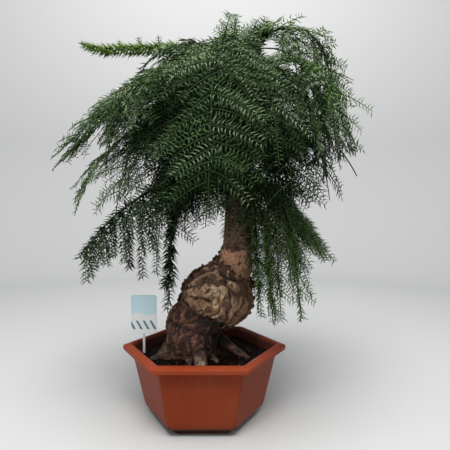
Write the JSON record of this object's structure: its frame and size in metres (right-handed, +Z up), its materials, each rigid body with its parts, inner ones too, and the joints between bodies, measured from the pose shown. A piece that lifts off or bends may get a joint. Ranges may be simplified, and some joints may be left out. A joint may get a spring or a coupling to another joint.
{
  "type": "hoop pine bonsai",
  "caption": "Small weeping conifer with a gnarled trunk, a round burl and drooping boughs of needle foliage, planted in a hexagonal plastic pot.",
  "frame": {"origin": "on the floor under the centre of the pot, in its flat underside", "axes": "+Z up along the pot's axis, -Y towards the front of the tree, +X to the right seen from the front"},
  "size_m": [0.5586, 0.5107, 0.737],
  "materials": {
    "pot": "smooth satin",
    "soil": "crumbly",
    "plant_label": "smooth",
    "bark": "rough flaky bark",
    "bough": "rough bark",
    "foliage": "waxy needles"
  },
  "bodies": {
    "root": {"bough_back_low": "bough", "bough_back_middle": "bough", "bough_back_top": "bough", "bough_front_left_middle": "bough", "bough_front_right_middle": "bough", "bough_front_top": "bough", "bough_left_back_top": "bough", "bough_left_front_top": "bough", "bough_left_hanging": "bough", "bough_left_low": "bough", "bough_left_middle": "bough", "bough_left_shoot": "bough", "bough_left_top": "bough", "bough_left_upper": "bough", "bough_right_back_low": "bough", "bough_right_back_top": "bough", "bough_right_front_low": "bough", "bough_right_front_top": "bough", "bough_right_hanging": "bough", "bough_right_low": "bough", "bough_right_middle": "bough", "bough_right_top": "bough", "foliage_back_low": "foliage", "foliage_back_middle": "foliage", "foliage_back_top": "foliage", "foliage_front_left_middle": "foliage", "foliage_front_right_middle": "foliage", "foliage_front_top": "foliage", "foliage_leader": "foliage", "foliage_left_back_top": "foliage", "foliage_left_front_top": "foliage", "foliage_left_hanging": "foliage", "foliage_left_low": "foliage", "foliage_left_middle": "foliage", "foliage_left_shoot": "foliage", "foliage_left_top": "foliage", "foliage_left_upper": "foliage", "foliage_right_back_low": "foliage", "foliage_right_back_top": "foliage", "foliage_right_front_low": "foliage", "foliage_right_front_top": "foliage", "foliage_right_hanging": "foliage", "foliage_right_low": "foliage", "foliage_right_middle": "foliage", "foliage_right_top": "foliage", "plant_label": "plant_label", "pot": "pot", "soil": "soil", "trunk": "bark"}
  },
  "joints": []
}
